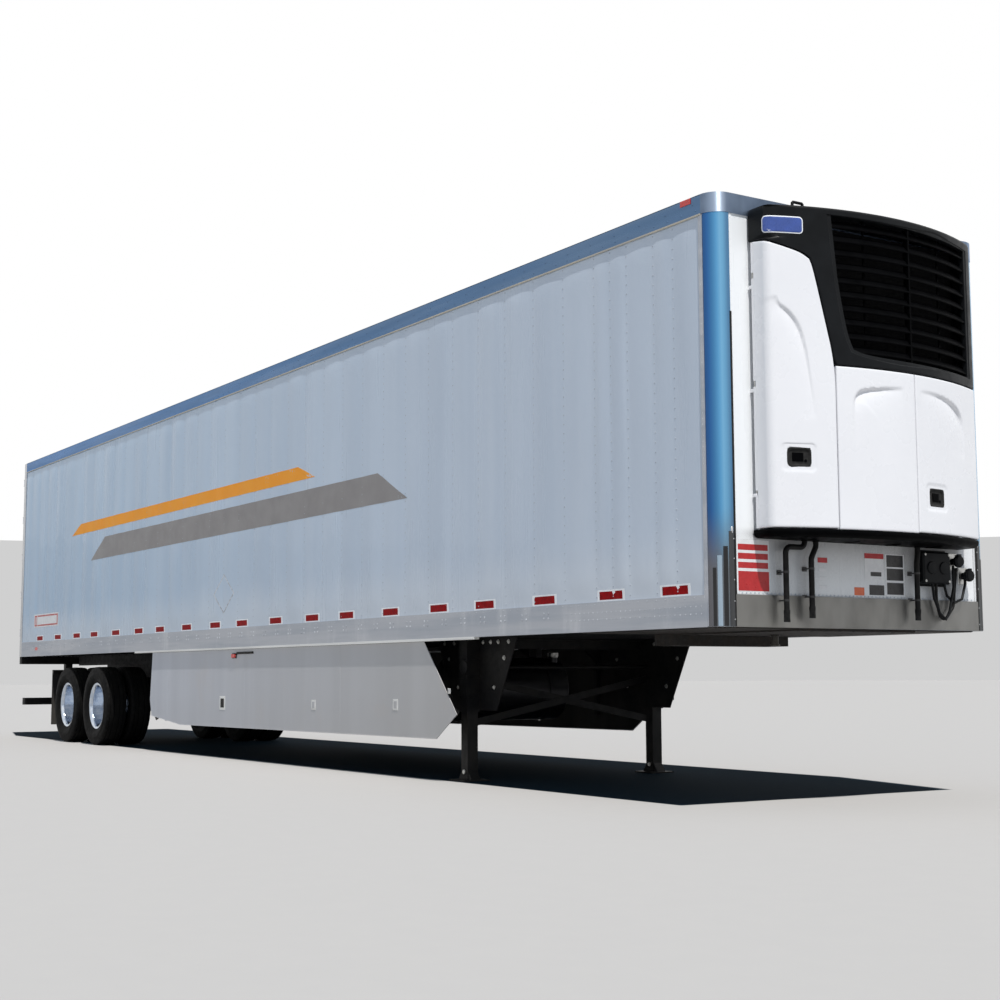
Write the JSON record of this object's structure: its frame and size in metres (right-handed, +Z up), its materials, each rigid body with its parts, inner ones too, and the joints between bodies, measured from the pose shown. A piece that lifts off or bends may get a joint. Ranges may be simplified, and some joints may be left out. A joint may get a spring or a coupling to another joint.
{
  "type": "refrigerated semi trailer",
  "caption": "Long white refrigerated box semi trailer on twin rear axles and landing legs, with a nose-mounted cooling unit, side skirts and rear swing doors.",
  "frame": {"origin": "on the ground, under the middle of the whole trailer's bounding box", "axes": "+X forward to the nose, +Y to the trailer's left, +Z up"},
  "size_m": [16.602, 2.599, 4.115],
  "materials": {
    "white_panel": "satin",
    "aluminium_rail": "brushed",
    "polished_post": "polished",
    "black_steel": "satin",
    "bright_steel": "satin",
    "floor_metal": "worn",
    "galvanised": "matt",
    "skirt_panel": "satin",
    "tyre_rubber": "matt",
    "wheel_metal": "polished",
    "unit_white": "gloss",
    "unit_black": "matt",
    "coil_metal": "matt",
    "engine_metal": "rough",
    "hose_rubber": "matt",
    "red_lens": "gloss",
    "flap_rubber": "matt"
  },
  "bodies": {
    "trailer": {"floor": "floor_metal", "cross_members": "galvanised", "side_wall_left": "white_panel", "side_wall_right": "white_panel", "front_wall": "white_panel", "roof": "white_panel", "bottom_rails": "aluminium_rail", "top_rails": "aluminium_rail", "nose_rails": "aluminium_rail", "corner_posts": "polished_post", "rear_frame": "bright_steel", "upper_coupler": "black_steel", "kingpin": "bright_steel", "landing_legs": "black_steel", "landing_braces": "black_steel", "landing_crank": "black_steel", "slide_rails": "black_steel", "bogie_frame": "black_steel", "trailing_arms": "black_steel", "air_springs": "hose_rubber", "axles": "black_steel", "mud_flaps": "flap_rubber", "underride_guard": "black_steel", "side_skirts": "skirt_panel", "skirt_struts": "black_steel", "fuel_tank": "bright_steel", "marker_lamps": "red_lens", "tail_lamps": "red_lens", "unit_base": "unit_black", "unit_housing": "unit_white", "unit_engine": "engine_metal", "unit_shroud": "unit_black", "unit_grille": "unit_black", "unit_condenser": "coil_metal", "air_couplings": "unit_black", "drain_hoses": "hose_rubber", "service_cable": "hose_rubber"},
    "rear_door_left": {"rear_door_left": "white_panel", "door_locks_left": "galvanised"},
    "rear_door_right": {"rear_door_right": "white_panel", "door_locks_right": "galvanised"},
    "unit_door_kerb": {"unit_door_kerb": "unit_white"},
    "unit_door_road": {"unit_door_road": "unit_white"},
    "wheel_set_front_left": {"wheels_front_left": "wheel_metal", "tyres_front_left": "tyre_rubber"},
    "wheel_set_front_right": {"wheels_front_right": "wheel_metal", "tyres_front_right": "tyre_rubber"},
    "wheel_set_rear_left": {"wheels_rear_left": "wheel_metal", "tyres_rear_left": "tyre_rubber"},
    "wheel_set_rear_right": {"wheels_rear_right": "wheel_metal", "tyres_rear_right": "tyre_rubber"}
  },
  "joints": [
    {"name": "rear_door_left_swing", "type": "hinge", "parent": "trailer", "child": "rear_door_left", "pos_m": [-8.289, 1.2805, 2.6], "axis": [0, 0, -1], "range_deg": [0, 262]},
    {"name": "rear_door_right_swing", "type": "hinge", "parent": "trailer", "child": "rear_door_right", "pos_m": [-8.289, -1.2805, 2.6], "axis": [0, 0, 1], "range_deg": [0, 262]},
    {"name": "unit_door_kerb_swing", "type": "hinge", "parent": "trailer", "child": "unit_door_kerb", "pos_m": [7.933, -0.991, 2.6], "axis": [0, 0, -1], "range_deg": [0, 98]},
    {"name": "unit_door_road_swing", "type": "hinge", "parent": "trailer", "child": "unit_door_road", "pos_m": [7.933, 0.991, 2.4], "axis": [0, 0, 1], "range_deg": [0, 98]},
    {"name": "wheel_spin_front_left", "type": "hinge", "parent": "trailer", "child": "wheel_set_front_left", "pos_m": [-4.729, 0.985, 0.51], "axis": [0, 1, 0], "continuous": true},
    {"name": "wheel_spin_front_right", "type": "hinge", "parent": "trailer", "child": "wheel_set_front_right", "pos_m": [-4.729, -0.985, 0.51], "axis": [0, 1, 0], "continuous": true},
    {"name": "wheel_spin_rear_left", "type": "hinge", "parent": "trailer", "child": "wheel_set_rear_left", "pos_m": [-5.974, 0.985, 0.51], "axis": [0, 1, 0], "continuous": true},
    {"name": "wheel_spin_rear_right", "type": "hinge", "parent": "trailer", "child": "wheel_set_rear_right", "pos_m": [-5.974, -0.985, 0.51], "axis": [0, 1, 0], "continuous": true}
  ]
}
